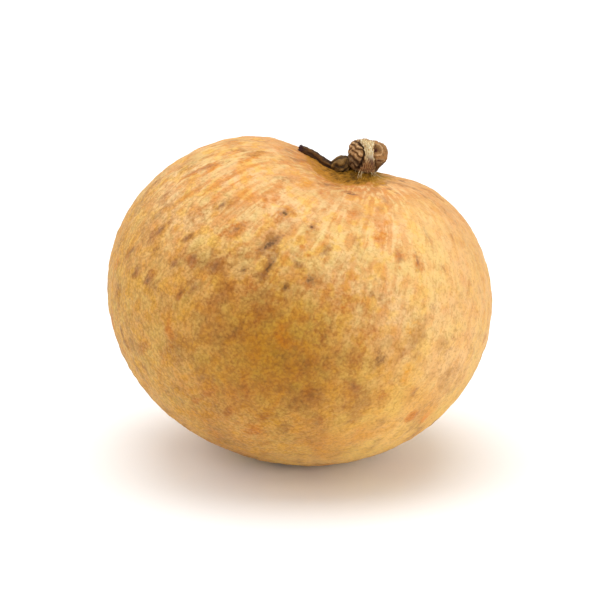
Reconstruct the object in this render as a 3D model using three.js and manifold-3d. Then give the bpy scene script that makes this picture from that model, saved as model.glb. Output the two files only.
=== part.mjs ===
// A whole longan, picked from its bunch: a leathery round fruit with sloping shoulders, the broken
// end of its stalk in the hollow between them, and beside the stalk the second carpel, which stayed
// a small bud and kept its dry style. The fruit lies on a surface, leaning a little.
//
// Millimetres. The pieces are made in the fruit's own frame: origin at the fruit's middle, +Z up its
// short axis, +X towards the stalk's side. The group then leans the fruit over as it lies and lifts
// it onto the surface: +Z up, origin on the surface, below the middle of the whole.
import * as THREE from "three";
import { mergeVertices } from "three/addons/utils/BufferGeometryUtils.js";
import Module from "manifold-3d";

// Driving dimensions of the fruit's body
const fruitWidth = 28;
const fruitDepth = 27.2;
const fruitHeight = 23.8; // of the full round, before the hollow is taken out of its top
const baseFullness = 0.035; // share by which the lower end is fuller than an ellipsoid

// The hollow between the shoulders: a saddle, short from shoulder to shoulder and long across them
const hollowDepth = 0.225; // share of the distance from the middle
const hollowOffset = 9.4; // degrees from the short axis, towards the stalk's side
const hollowHalfWidth = 0.42; // sine of the angle at which the hollow fades, shoulder to shoulder
const hollowHalfLength = 0.77; // the same, across
const hollowEdge = 2.25; // how squarely its sides rise
const hollowReach = 8; // how sharply the hollow keeps to the upper side

// The low collar of skin that carries the stalk, the bud and the dry style, and the calmer skin on it
const collarMiddleX = 2.1;
const collarHeight = 0.4;
const collarHalfLength = 3.2;
const collarHalfWidth = 1.9;
const collarSquareness = 4; // how squarely each of these forms ends
const calmHalfLength = 3.4;
const calmHalfWidth = 2.1;
const calmSquareness = 2;

// The nook across the collar, in which the bud and the root of its style sit
const nookMiddleX = 0.9;
const nookDepth = 0.28;
const nookHalfLength = 1.4;
const nookHalfWidth = 5.5;
const nookSquareness = 3;

// The mound of skin between the bud and the stalk's foot
const moundMiddleX = 2.55;
const moundHeight = 0.36;
const moundHalfLength = 0.95;
const moundHalfWidth = 1.2;
const moundSquareness = 3;

// The skin's relief: low pebbles, one round each seed of a jittered spiral, over broad soft lumps
const pebbleCount = 520;
const pebbleHeight = 0.06;
const pebbleRadius = 1.35;
const pebbleJitter = 0.052; // how far a seed is pushed on the unit sphere
const lumpHeight = 0.07;
const lumps = [
  { share: 1, long: [3.1, 0, 1.7, 0.4], cross: [0, 2.3, -1.9, 1.1] }, // waves along x, y, z; phase
  { share: 0.6, long: [3.7, 5.2, 0, 2], cross: [-2.6, 0, 4.4, 0] },
];
const skinDetail = 22; // subdivisions of each edge of the icosahedron that the skin starts from

// How the fruit lies: it leans to the right and back, and rests on a small pressed flat
const leanBack = -6.8; // degrees about X
const leanRight = 9.7; // degrees about Y
const turn = -2.2; // degrees about Z
const flatDepth = 0.25;

// The stalk's broken end
const stalkFoot = new THREE.Vector3(3.1, -0.12, 9.47);
const stalkLean = -1; // degrees about Y, from the fruit's short axis
const stalkSides = 32;
const stalkOutline = [
  [0, -0.6], // radius, height above the foot
  [0.74, -0.6],
  [0.72, 0],
  [0.76, 0.24],
  [0.86, 0.48],
  [1.03, 0.72],
  [1.21, 0.98],
  [1.35, 1.28],
  [1.41, 1.6],
  [1.36, 1.94],
  [1.2, 2.22],
  [0.92, 2.42],
  [0.5, 2.52],
  [0, 2.48],
];
const lobeHeights = [0.045, 0.025]; // shares of the radius, for three and for five lobes round it
const lobeTurn = 0.8; // radians
const neckSwell = 0.3; // share of the radius by which the neck bulges towards the bud
const neckHeight = 0.62; // of the bulge's middle
const neckSpan = 0.36; // how far above and below it the bulge fades
const neckSide = [-0.1, 0.9]; // cosines of the angle from the bud's side, where it starts and is full
const wrinkleHeight = 0.06;
const wrinklePitch = 0.42;
const wrinkleRise = 0.35; // how steeply the wrinkles climb towards the bud
const wrinkleSpan = [0.5, 1]; // heights between which they fade in

// The hollow broken into the stalk's end
const breakRadii = new THREE.Vector3(0.42, 0.46, 0.5);
const breakMiddle = new THREE.Vector3(0.82, -1.02, 1.88);
const breakSides = [20, 14]; // round it, and from pole to pole

// The strip of torn fibre over the top and down the front of the stalk's end
const stripWidth = 0.62;
const stripThickness = 0.3;
const stripSteps = 20;
const stripLine = [
  [0.1, 2.42], // y, height above the foot
  [-0.5, 2.47],
  [-1.02, 2.34],
  [-1.32, 1.98],
  [-1.42, 1.55],
  [-1.3, 1.14],
  [-1.04, 0.76],
  [-0.8, 0.44],
  [-0.72, 0.12],
];
const stripFootFlare = 0.7; // shares by which it widens towards its foot and its top
const stripTopFlare = 0.35;
const stripFootSpan = [0.4, 1.5]; // heights between which each widening fades
const stripTopSpan = [1.7, 2.4];

// The bud of the second carpel and its dry style, which lies along the skin
const budMiddle = new THREE.Vector3(1.34, -0.14, 9.84);
const budRadii = new THREE.Vector3(0.8, 0.68, 0.66);
const budLean = -38; // degrees about Y, its top towards the stalk
const budSides = [24, 16];
const styleRadius = 0.28;
const styleSteps = 16;
const styleSides = 10;
const styleLine = [
  [1, -0.12, 0.22], // x, y, height above the skin
  [0.5, -0.08, 0.26],
  [0, 0.02, 0.28],
  [-0.55, 0.13, 0.29],
  [-1.1, 0.25, 0.29],
  [-1.62, 0.35, 0.29],
];
const styleTip = new THREE.Vector3(0.33, 0.36, 0.27); // radii of its knobbed end
const tipSides = [14, 10];

const seatGap = 0.1; // clearance between the skin and what grows from it
const stalkRoom = 1.07; // how much wider than the stalk's end the place is that the bud leaves for it

const sameVertex = 1e-5; // closer than this, two vertices of a surface are one
const heightPasses = 8; // by which the height of the skin over a place is found
const scatterSteps = [12.9898, 78.233]; // per whole number and per salt, in radians
const scatterScale = 43758.5453;

const wasm = await Module();
wasm.setup();

const degrees = THREE.MathUtils.degToRad;

// A closed surface as a solid that can be joined and cut.
function solid(geometry) {
  const bare = geometry.clone();
  bare.deleteAttribute("normal");
  bare.deleteAttribute("uv");
  const merged = mergeVertices(bare, sameVertex);
  return new wasm.Manifold(
    new wasm.Mesh({
      numProp: 3,
      vertProperties: merged.getAttribute("position").array,
      triVerts: new Uint32Array(merged.index.array),
    }),
  );
}

// A solid back as a surface, with its normals.
function geometryOf(made) {
  const mesh = made.getMesh();
  const geometry = new THREE.BufferGeometry()
    .setAttribute("position", new THREE.BufferAttribute(mesh.vertProperties, 3))
    .setIndex(new THREE.BufferAttribute(mesh.triVerts, 1));
  geometry.computeVertexNormals();
  return geometry;
}

// Moves every vertex of a geometry by a rule that is given its place.
function reshape(geometry, rule) {
  const places = geometry.getAttribute("position");
  const place = new THREE.Vector3();
  for (let i = 0; i < places.count; i++) {
    rule(place.fromBufferAttribute(places, i));
    places.setXYZ(i, place.x, place.y, place.z);
  }
  return geometry;
}

// A repeatable value from 0 to 1 for a whole number.
function scatter(index, salt) {
  const value = Math.sin(index * scatterSteps[0] + salt * scatterSteps[1]) * scatterScale;
  return value - Math.floor(value);
}

// The pebbles' seeds: a golden-angle spiral over the sphere, each pushed a little off its place.
function pebbleSeeds() {
  const goldenAngle = Math.PI * (3 - Math.sqrt(5));
  return Array.from({ length: pebbleCount }, (_, i) => {
    const height = 1 - (2 * i + 1) / pebbleCount;
    const ring = Math.sqrt(1 - height * height);
    const angle = i * goldenAngle;
    const push = new THREE.Vector3(scatter(i, 1), scatter(i, 2), scatter(i, 3)).subScalar(0.5);
    const place = new THREE.Vector3(ring * Math.cos(angle), ring * Math.sin(angle), height);
    return place.addScaledVector(push, 2 * pebbleJitter).normalize();
  });
}

// The skin's relief along a unit vector, in millimetres above the smooth form.
function relief(direction, seeds) {
  const nearest = Math.max(...seeds.map((seed) => seed.dot(direction)));
  const distance = Math.acos(Math.min(1, nearest)) * (fruitWidth / 2);
  const share = Math.min(1, distance / pebbleRadius);
  const pebble = Math.cos((share * Math.PI) / 2) ** 2;
  const wave = ([x, y, z, phase]) =>
    Math.sin(x * direction.x + y * direction.y + z * direction.z + phase);
  const lump = lumps.reduce((sum, { share, long, cross }) => sum + share * wave(long) * wave(cross), 0);
  return pebbleHeight * pebble + lumpHeight * lump;
}

// How far the smooth skin lies from the fruit's middle along a unit vector: an ellipsoid, fuller at
// its base, with the saddle hollow taken out of its top.
function openRadius({ x, y, z }) {
  const round = 1 / Math.hypot((2 * x) / fruitWidth, (2 * y) / fruitDepth, (2 * z) / fruitHeight);
  const fuller = 1 + baseFullness * Math.min(0, z) ** 2;
  const offset = degrees(hollowOffset);
  const across = x * Math.cos(offset) - z * Math.sin(offset);
  const towards = x * Math.sin(offset) + z * Math.cos(offset);
  const spread = (Math.abs(across) / hollowHalfWidth) ** hollowEdge + (y / hollowHalfLength) ** 2;
  const hollow = (hollowDepth * Math.exp(-spread)) / (1 + Math.exp(-hollowReach * towards));
  return round * fuller * (1 - hollow);
}

// How near a direction is to the middle of an oval on the upper side: 1 there and 0 well outside it.
function insideOval(direction, middleX, halfLength, halfWidth, squareness) {
  const radius = openRadius(direction);
  const along = Math.abs(direction.x * radius - middleX) / halfLength;
  const across = Math.abs(direction.y * radius) / halfWidth;
  return direction.z > 0 ? Math.exp(-(along ** squareness) - across ** squareness) : 0;
}

// The smooth skin with the collar and the mound raised in its hollow and the nook sunk across it.
function smoothRadius(direction) {
  const oval = (...sizes) => insideOval(direction, ...sizes);
  const collar = oval(collarMiddleX, collarHalfLength, collarHalfWidth, collarSquareness);
  const nook = oval(nookMiddleX, nookHalfLength, nookHalfWidth, nookSquareness);
  const mound = oval(moundMiddleX, moundHalfLength, moundHalfWidth, moundSquareness);
  return openRadius(direction) + collarHeight * collar - nookDepth * nook + moundHeight * mound;
}

// The whole round skin, with its relief, raised evenly by a clearance where one is given.
function skin(clearance = 0) {
  const seeds = pebbleSeeds();
  return reshape(new THREE.IcosahedronGeometry(1, skinDetail), (place) => {
    const direction = place.clone().normalize();
    const calm = insideOval(direction, collarMiddleX, calmHalfLength, calmHalfWidth, calmSquareness);
    const raised = relief(direction, seeds) * (1 - calm);
    place.copy(direction).multiplyScalar(smoothRadius(direction) + raised + clearance);
  });
}

// The point at a height above the smooth skin, over the place x, y of the hollow.
function aboveSkin([x, y, height]) {
  const place = new THREE.Vector3(x, y, fruitHeight / 2);
  for (let pass = 0; pass < heightPasses; pass++) {
    const radius = smoothRadius(place.clone().normalize());
    place.z = Math.sqrt(radius * radius - x * x - y * y);
  }
  return place.setZ(place.z + height);
}

// The stalk's end: a short neck, bulging towards the bud, under a broader head, with wrinkled bark on
// the bud's side, a hollow broken into its other side and a strip of torn fibre down its front.
function stalk() {
  const outline = stalkOutline.map(([radius, height]) => new THREE.Vector2(radius, height));
  const head = new THREE.LatheGeometry(outline, stalkSides).rotateX(Math.PI / 2);
  reshape(head, (place) => {
    const angle = Math.atan2(place.y, place.x);
    const onHead = THREE.MathUtils.smoothstep(place.z, ...wrinkleSpan);
    const phase = (2 * Math.PI * (place.z - place.x * wrinkleRise)) / wrinklePitch;
    const wrinkle = wrinkleHeight * Math.sin(phase) * (0.5 - 0.5 * Math.cos(angle));
    const lobes = lobeHeights[0] * Math.sin(3 * angle + lobeTurn) + lobeHeights[1] * Math.sin(5 * angle);
    const towardsBud = THREE.MathUtils.smoothstep(-Math.cos(angle), ...neckSide);
    const bulge = neckSwell * towardsBud * Math.exp(-(((place.z - neckHeight) / neckSpan) ** 2));
    const swell = 1 + onHead * (lobes + wrinkle) + bulge;
    place.x *= swell;
    place.y *= swell;
  });
  const broken = new THREE.SphereGeometry(1, ...breakSides)
    .scale(breakRadii.x, breakRadii.y, breakRadii.z)
    .translate(breakMiddle.x, breakMiddle.y, breakMiddle.z);
  const section = new THREE.Shape([
    new THREE.Vector2(-stripWidth / 2, -stripThickness / 2),
    new THREE.Vector2(stripWidth / 2, -stripThickness / 2),
    new THREE.Vector2(stripWidth / 2, stripThickness / 2),
    new THREE.Vector2(-stripWidth / 2, stripThickness / 2),
  ]);
  const path = new THREE.CatmullRomCurve3(stripLine.map(([y, z]) => new THREE.Vector3(0, y, z)));
  const strip = new THREE.ExtrudeGeometry(section, { steps: stripSteps, extrudePath: path });
  reshape(strip, (place) => {
    const foot = 1 - THREE.MathUtils.smoothstep(place.z, ...stripFootSpan);
    const top = THREE.MathUtils.smoothstep(place.z, ...stripTopSpan);
    place.x *= 1 + stripFootFlare * foot + stripTopFlare * top;
  });
  return solid(head).subtract(solid(broken)).add(solid(strip));
}

// The bud of the second carpel, with its dry style bent away from it along the skin.
function carpel() {
  const bud = new THREE.SphereGeometry(1, ...budSides)
    .rotateX(Math.PI / 2)
    .scale(budRadii.x, budRadii.y, budRadii.z)
    .rotateY(degrees(budLean))
    .translate(budMiddle.x, budMiddle.y, budMiddle.z);
  const places = styleLine.map(aboveSkin);
  const section = new THREE.Shape().absarc(0, 0, styleRadius, 0, 2 * Math.PI);
  const style = new THREE.ExtrudeGeometry(section, {
    steps: styleSteps,
    curveSegments: styleSides / 2,
    extrudePath: new THREE.CatmullRomCurve3(places),
  });
  const end = places.at(-1);
  const tip = new THREE.SphereGeometry(1, ...tipSides)
    .scale(styleTip.x, styleTip.y, styleTip.z)
    .translate(end.x, end.y, end.z);
  return solid(bud).add(solid(style)).add(solid(tip));
}

const material = (color, roughness) => new THREE.MeshStandardMaterial({ color, roughness, metalness: 0 });
const skinMaterial = material(0xd9a463, 0.7);
const stalkMaterial = material(0x7d5a3c, 0.85);
const carpelMaterial = material(0x4e3a26, 0.8);

function addPiece(group, name, made, pieceMaterial) {
  const mesh = new THREE.Mesh(geometryOf(made), pieceMaterial);
  mesh.name = name;
  group.add(mesh);
}

// The fruit's frame, leaning, with the round skin's lowest point flatDepth below the surface and
// its middle above the origin.
const fruit = new THREE.Group();
fruit.rotation.set(degrees(leanBack), degrees(leanRight), degrees(turn), "XYZ");
const leaning = new THREE.Matrix4().makeRotationFromEuler(fruit.rotation);
const reach = new THREE.Box3().setFromBufferAttribute(
  skin().applyMatrix4(leaning).getAttribute("position"),
);
const middle = reach.getCenter(new THREE.Vector3());
fruit.position.set(-middle.x, -middle.y, -reach.min.z - flatDepth);
fruit.updateMatrix();

// The ground, seen from the fruit's frame, presses the small flat that the fruit rests on.
const groundSize = 4 * fruitWidth;
const ground = new THREE.BoxGeometry(groundSize, groundSize, groundSize)
  .translate(0, 0, -groundSize / 2)
  .applyMatrix4(fruit.matrix.clone().invert());
const clearOfSkin = solid(skin(seatGap));
const seatedStalk = new THREE.Matrix4()
  .makeRotationY(degrees(stalkLean))
  .setPosition(stalkFoot);
const roomForStalk = seatedStalk.clone().scale(new THREE.Vector3(stalkRoom, stalkRoom, 1));
const stalkEnd = solid(geometryOf(stalk()).applyMatrix4(seatedStalk)).subtract(clearOfSkin);
const clearOfStalk = solid(geometryOf(stalk()).applyMatrix4(roomForStalk));

addPiece(fruit, "fruit", solid(skin()).subtract(solid(ground)), skinMaterial);
addPiece(fruit, "stalk_end", stalkEnd, stalkMaterial);
addPiece(fruit, "second_carpel", carpel().subtract(clearOfSkin).subtract(clearOfStalk), carpelMaterial);

const longan = new THREE.Group();
longan.add(fruit);
export default longan;
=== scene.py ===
import math

import bpy
import numpy as np
from mathutils import Matrix, Vector


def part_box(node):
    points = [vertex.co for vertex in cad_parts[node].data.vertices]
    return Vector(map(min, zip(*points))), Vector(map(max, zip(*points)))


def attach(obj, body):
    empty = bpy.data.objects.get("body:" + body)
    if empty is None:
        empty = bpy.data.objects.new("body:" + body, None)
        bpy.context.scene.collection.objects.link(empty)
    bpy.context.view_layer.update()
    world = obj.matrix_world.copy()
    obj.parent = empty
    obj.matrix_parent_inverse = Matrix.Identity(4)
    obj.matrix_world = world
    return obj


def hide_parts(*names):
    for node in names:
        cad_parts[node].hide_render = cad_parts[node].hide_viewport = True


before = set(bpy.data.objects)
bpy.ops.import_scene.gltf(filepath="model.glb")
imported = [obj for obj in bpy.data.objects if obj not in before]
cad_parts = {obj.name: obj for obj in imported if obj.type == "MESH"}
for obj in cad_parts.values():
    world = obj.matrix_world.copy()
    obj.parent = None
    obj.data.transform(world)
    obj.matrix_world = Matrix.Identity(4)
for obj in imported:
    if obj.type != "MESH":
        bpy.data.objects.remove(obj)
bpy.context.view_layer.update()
mm = 0.001
print("frame loaded")

# A whole longan in its leathery skin, with the broken end of its stalk and its second carpel, which
# stayed a bud and kept its dry style. Forms are worked out in millimetres in the fruit's own frame:
# origin at the fruit's middle, +Z up its short axis, +X towards the stalk's side. Then they lean as
# the fruit lies, and are placed by the fruit's box in the frame.

fruitForm = {
    "width": 28.0,
    "depth": 27.2,
    "height": 23.8,  # of the full round, before the hollow is taken out
    "meanRadius": 13,
    "baseFullness": 0.035,
    "hollowDepth": 0.225,  # share of the distance from the middle
    "hollowOffset": 9.4,  # degrees from the short axis
    "hollowHalfWidth": 0.42,  # sine of the angle at which it fades, shoulder to shoulder
    "hollowHalfLength": 0.77,
    "hollowEdge": 2.25,
    "hollowReach": 8,
    # Ovals on the upper side: middle on x, half-length along x, half-width along y, power of the bell
    "collar": (2.1, 3.2, 1.9, 4),
    "mound": (2.55, 0.95, 1.2, 3),  # between the bud and the stalk's foot
    "nook": (0.9, 1.4, 5.5, 3),  # across the collar, with the bud in it
    "calm": (2.1, 3.4, 2.1, 2),  # without pebbles
    "collarHeight": 0.4,
    "moundHeight": 0.36,
    "nookDepth": 0.28,
    "pebbleCount": 520,
    "pebbleHeight": 0.035,
    "pebbleRadius": 1.35,
    "pebbleJitter": 0.052,  # of the unit sphere
    "lumpHeight": 0.07,
    "lumps": [  # share, then waves along x, y and z with a phase, one across the other
        (1.0, (3.1, 0, 1.7, 0.4), (0, 2.3, -1.9, 1.1)),
        (0.6, (3.7, 5.2, 0, 2), (-2.6, 0, 4.4, 0)),
    ],
    "lean": (-6.8, 9.7, -2.2),  # degrees about X, Y and Z
    "stalkFoot": (3.1, -0.12, 9.47),
    "columns": 420,
    "rows": 232,
}


def unit(vectors):
    return vectors / np.linalg.norm(vectors, axis=-1, keepdims=True)


def smoothStep(low, high, value):
    # Eases from 0 at low to 1 at high.
    share = np.clip((value - low) / (high - low), 0, 1)
    return share * share * (3 - 2 * share)


def bell(value):
    # 1 at 0, falling off as a Gaussian.
    return np.exp(-(value**2))


def turning(degrees, axis):
    return np.array(Matrix.Rotation(math.radians(degrees), 3, axis))


def onceRound(count):
    # Angles once round, as a row.
    return np.linspace(0, 2 * math.pi, count, endpoint=False)[None, :]


def scatter(index, salt):
    # The fraction of a large sine: a repeatable value from 0 to 1 for each whole number.
    value = np.sin(index * 12.9898 + salt * 78.233) * 43758.5453
    return value - np.floor(value)


def softNoise(places, size, seed, waves=26):
    # A sum of sine waves that run in random directions, about size long: roughly -1 to 1.
    draw = np.random.default_rng(seed)
    ways = unit(draw.normal(size=(waves, 3)))
    lengths = size * draw.uniform(0.7, 1.6, (waves, 1))
    phases = draw.uniform(0, 2 * math.pi, waves)
    return np.sin(places @ (2 * math.pi * ways / lengths).T + phases).sum(-1) / math.sqrt(waves)


def throughPoints(points, count):
    # A Catmull-Rom curve through the points, read at equal steps of its own parameter.
    known = np.asarray(points, float)
    ends = np.vstack([2 * known[0] - known[1], known, 2 * known[-1] - known[-2]])
    steps = np.linspace(0, len(known) - 1, count)
    first = np.minimum(steps.astype(int), len(known) - 2)
    share = (steps - first)[:, None]
    a, b, c, d = (ends[first + k] for k in range(4))
    squared = (2 * a - 5 * b + 4 * c - d) * share**2
    cubed = (3 * b - a - 3 * c + d) * share**3
    return 0.5 * (2 * b + (c - a) * share + squared + cubed)


def openRadius(ways):
    # The distance to the skin: an ellipsoid, fuller below, times what the saddle hollow leaves, which
    # is 1 less a bell in the sine across the shoulders and the sine along them.
    form = fruitForm
    x, y, z = ways[..., 0], ways[..., 1], ways[..., 2]
    halves = np.array([form["width"], form["depth"], form["height"]]) / 2
    around = 1 / np.linalg.norm(ways / halves, axis=-1)
    fuller = 1 + form["baseFullness"] * np.minimum(0, z) ** 2
    offset = math.radians(form["hollowOffset"])
    across = x * math.cos(offset) - z * math.sin(offset)
    towards = x * math.sin(offset) + z * math.cos(offset)
    spread = (abs(across) / form["hollowHalfWidth"]) ** form["hollowEdge"]
    spread = spread + (y / form["hollowHalfLength"]) ** 2
    hollow = form["hollowDepth"] * np.exp(-spread) / (1 + np.exp(-form["hollowReach"] * towards))
    return around * fuller * (1 - hollow)


def insideOval(ways, name):
    # 1 at the oval's middle and 0 outside it, on the upper side: a bell in x and in y.
    middle, halfLength, halfWidth, power = fruitForm[name]
    radius = openRadius(ways)
    along = abs(ways[..., 0] * radius - middle) / halfLength
    across = abs(ways[..., 1] * radius) / halfWidth
    return np.where(ways[..., 2] > 0, np.exp(-(along**power) - across**power), 0)


def smoothRadius(ways):
    # The skin without its relief: the collar and the mound raised in the hollow, and the nook sunk
    # across it.
    form = fruitForm
    raised = form["collarHeight"] * insideOval(ways, "collar")
    raised = raised + form["moundHeight"] * insideOval(ways, "mound")
    return openRadius(ways) + raised - form["nookDepth"] * insideOval(ways, "nook")


def spiralSeeds(count, jitter, salt):
    # A golden-angle spiral over the unit sphere, each point pushed a little at random.
    index = np.arange(count)
    height = 1 - (2 * index + 1) / count
    angle = index * math.pi * (3 - math.sqrt(5))
    ring = np.sqrt(1 - height**2)
    seeds = np.stack([ring * np.cos(angle), ring * np.sin(angle), height], 1)
    push = np.stack([scatter(index, salt + k) for k in range(3)], 1) - 0.5
    return unit(seeds + 2 * jitter * push)


def crossedWaves(ways, long, cross):
    # One slow sine wave times another. Each is its turns along x, y and z, then its phase.
    return np.sin(ways @ np.array(long[:3]) + long[3]) * np.sin(ways @ np.array(cross[:3]) + cross[3])


def pebbleRelief(ways):
    # A low cosine dome round each seed, over the product of slow waves. Also gives how much farther the
    # second seed is than the nearest, which is 0 on the lines between pebbles.
    form = fruitForm
    nearest, second = np.full(len(ways), -1.0), np.full(len(ways), -1.0)
    for seed in pebbleSeeds:
        closeness = ways @ seed
        second = np.maximum(second, np.minimum(nearest, closeness))
        nearest = np.maximum(nearest, closeness)
    first, other = (np.arccos(np.clip(each, -1, 1)) * form["width"] / 2 for each in (nearest, second))
    dome = np.cos(np.minimum(first / form["pebbleRadius"], 1) * math.pi / 2) ** 2
    lumps = sum(share * crossedWaves(ways, long, cross) for share, long, cross in form["lumps"])
    return form["pebbleHeight"] * dome + form["lumpHeight"] * lumps, other - first


pebbleSeeds = spiralSeeds(fruitForm["pebbleCount"], fruitForm["pebbleJitter"], 1)
leanX, leanY, leanZ = (turning(angle, axis) for angle, axis in zip(fruitForm["lean"], "XYZ"))
leanMatrix = leanX @ leanY @ leanZ
stalkWay = unit(np.array(fruitForm["stalkFoot"]))
sideWay = unit(np.array([1.0, 0, 0]) - stalkWay * stalkWay[0])  # away from the bud, across the stalk
frontWay = np.cross(sideWay, stalkWay)  # towards the front
lowCorner, highCorner = (np.array(corner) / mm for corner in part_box("fruit"))


def wayAt(around, down):
    # The unit vector down degrees from the stalk, at around degrees: 0 is away from the bud and 90 is
    # the front.
    a, b = np.broadcast_arrays(np.radians(around), np.radians(down))
    side = np.cos(a)[..., None] * sideWay + np.sin(a)[..., None] * frontWay
    return np.cos(b)[..., None] * stalkWay + np.sin(b)[..., None] * side


def meshObject(name, points, faces, smooth=True):
    # Points in metres and faces as an array of corner indices, -1 where a face has only three.
    used = faces[faces >= 0]
    sizes = (faces >= 0).sum(1)
    mesh = bpy.data.meshes.new(name)
    mesh.vertices.add(len(points))
    mesh.vertices.foreach_set("co", points.astype(np.float32).ravel())
    mesh.loops.add(len(used))
    mesh.loops.foreach_set("vertex_index", used.astype(np.int32))
    mesh.polygons.add(len(faces))
    starts = np.concatenate([[0], np.cumsum(sizes)[:-1]])
    mesh.polygons.foreach_set("loop_start", starts.astype(np.int32))
    mesh.polygons.foreach_set("use_smooth", np.full(len(faces), smooth))
    mesh.update(calc_edges=True)
    mesh.validate()
    made = bpy.data.objects.new(name, mesh)
    bpy.context.scene.collection.objects.link(made)
    return made


def closedGrid(points, start, end):
    # Rings of points joined by quads, with a fan of triangles to a point at each end. The faces turn
    # outwards: if the volume comes out negative, every face is turned round.
    rows, columns = points.shape[:2]
    index = np.arange(rows * columns).reshape(rows, columns)
    right = np.roll(index, -1, axis=1)
    quads = np.stack([index[:-1], right[:-1], right[1:], index[1:]], -1).reshape(-1, 4)
    blank = np.full(columns, -1)
    startFan = np.stack([right[0], index[0], np.full(columns, rows * columns), blank], -1)
    endFan = np.stack([index[-1], right[-1], np.full(columns, rows * columns + 1), blank], -1)
    allPoints = np.vstack([points.reshape(-1, 3), start, end])
    faces = np.vstack([quads, startFan, endFan])
    isQuad = faces[:, 3:] >= 0
    a, b, c = (allPoints[faces[:, k]] for k in range(3))
    d = np.where(isQuad, allPoints[faces[:, 3]], c)
    if (np.cross(a, b) * c).sum() + (np.cross(a, c) * d).sum() < 0:
        faces = np.where(isQuad, faces[:, ::-1], faces[:, [2, 1, 0, 3]])
    return allPoints, faces


def placed(points):
    # From the fruit's frame in millimetres to the row's frame in metres.
    return (points @ leanMatrix.T + placeShift) * mm


def closedPiece(name, body, start, end):
    # A closed grid, given in the fruit's frame, as an object.
    return meshObject(name, *closedGrid(placed(body), placed(start), placed(end)))


def addField(made, name, values, *ends):
    # An attribute with a number, or three, for each point. The ends are for the two closing points.
    numbers = np.append(values, ends).astype(np.float32)
    single = len(numbers) == len(made.data.vertices)
    attribute = made.data.attributes.new(name, "FLOAT" if single else "FLOAT_VECTOR", "POINT")
    attribute.data.foreach_set("value" if single else "vector", numbers)


def finishPiece(made, slot, material, *nodes):
    made.data.materials.append(material)
    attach(made, "root")
    if nodes:
        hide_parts(*nodes)


def colour(tint):
    # A string is sRGB hex, turned to the linear values that the shaders read. Three numbers are linear.
    if not isinstance(tint, str):
        return (*tint, 1.0)
    share = np.array([int(tint[k : k + 2], 16) for k in (0, 2, 4)]) / 255
    linear = np.where(share <= 0.04045, share / 12.92, ((share + 0.055) / 1.055) ** 2.4)
    return (*linear, 1.0)


class Shading:
    # A short way to add nodes to a material or a group: each method returns the socket it makes. Where
    # an input is a colour, the name of one of the tints stands for it.
    def __init__(self, tree, tints=()):
        self.tree = tree
        self.tints = {name: colour(tint) for name, tint in dict(tints).items()}

    def node(self, kind, inputs=(), **settings):
        made = self.tree.nodes.new(kind)
        for key, value in settings.items():
            setattr(made, key, value)
        for key, value in dict(inputs).items():
            if isinstance(value, bpy.types.NodeSocket):
                self.tree.links.new(value, made.inputs[key])
            else:
                made.inputs[key].default_value = self.tints[value] if isinstance(value, str) else value
        return made

    def place(self):
        return self.node("ShaderNodeTexCoord").outputs["Object"]

    def values(self, *names):
        return [self.node("ShaderNodeAttribute", attribute_name=name).outputs["Fac"] for name in names]

    def vector(self, name):
        return self.node("ShaderNodeAttribute", attribute_name=name).outputs["Vector"]

    def split(self, vector):
        return self.node("ShaderNodeSeparateXYZ", {0: vector}).outputs

    def scaled(self, vector, factors):
        inputs = {0: vector, 1: factors}
        return self.node("ShaderNodeVectorMath", inputs, operation="MULTIPLY").outputs[0]

    def math(self, operation, first, second=0.0):
        return self.node("ShaderNodeMath", {0: first, 1: second}, operation=operation).outputs[0]

    def plus(self, first, second):
        return self.math("ADD", first, second)

    def times(self, product, *factors):
        for factor in factors:
            product = self.math("MULTIPLY", product, factor)
        return product

    def noise(self, vector, size, detail=2.0, roughness=0.5, field=0.0):
        inputs = {"Vector": vector, "W": field, "Scale": 1 / size, "Detail": detail, "Roughness": roughness}
        return self.node("ShaderNodeTexNoise", inputs, noise_dimensions="4D").outputs["Fac"]

    def ramp(self, value, low, high, toLow=0.0, toHigh=1.0):
        inputs = {"Value": value, "From Min": low, "From Max": high, "To Min": toLow, "To Max": toHigh}
        return self.node("ShaderNodeMapRange", inputs, interpolation_type="SMOOTHSTEP").outputs["Result"]

    def wobble(self, noise, amount):
        return self.ramp(noise, 0.3, 0.7, -amount, amount)

    def mix(self, factor, first, second, blend="MIX"):
        inputs = {0: factor, 6: first, 7: second}
        settings = {"data_type": "RGBA", "blend_type": blend, "clamp_result": True}
        return self.node("ShaderNodeMix", inputs, **settings).outputs[2]

    def laid(self, ground, layers, blend="MIX"):
        # Tints laid over the ground one after another, each by its mask.
        for mask, tint in layers:
            ground = self.mix(mask, ground, tint, blend)
        return ground

    def bump(self, height, distance, strength, **normal):
        inputs = {"Height": height, "Distance": distance, "Strength": strength, **normal}
        return self.node("ShaderNodeBump", inputs).outputs["Normal"]

    def surface(self, inputs):
        shader = self.node("ShaderNodeBsdfPrincipled", inputs)
        self.node("ShaderNodeOutputMaterial", {"Surface": shader.outputs[0]})


def newMaterial(name, tints=()):
    made = bpy.data.materials.new(name)
    made.use_nodes = True
    made.node_tree.nodes.clear()
    return made, Shading(made.node_tree, tints)


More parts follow.
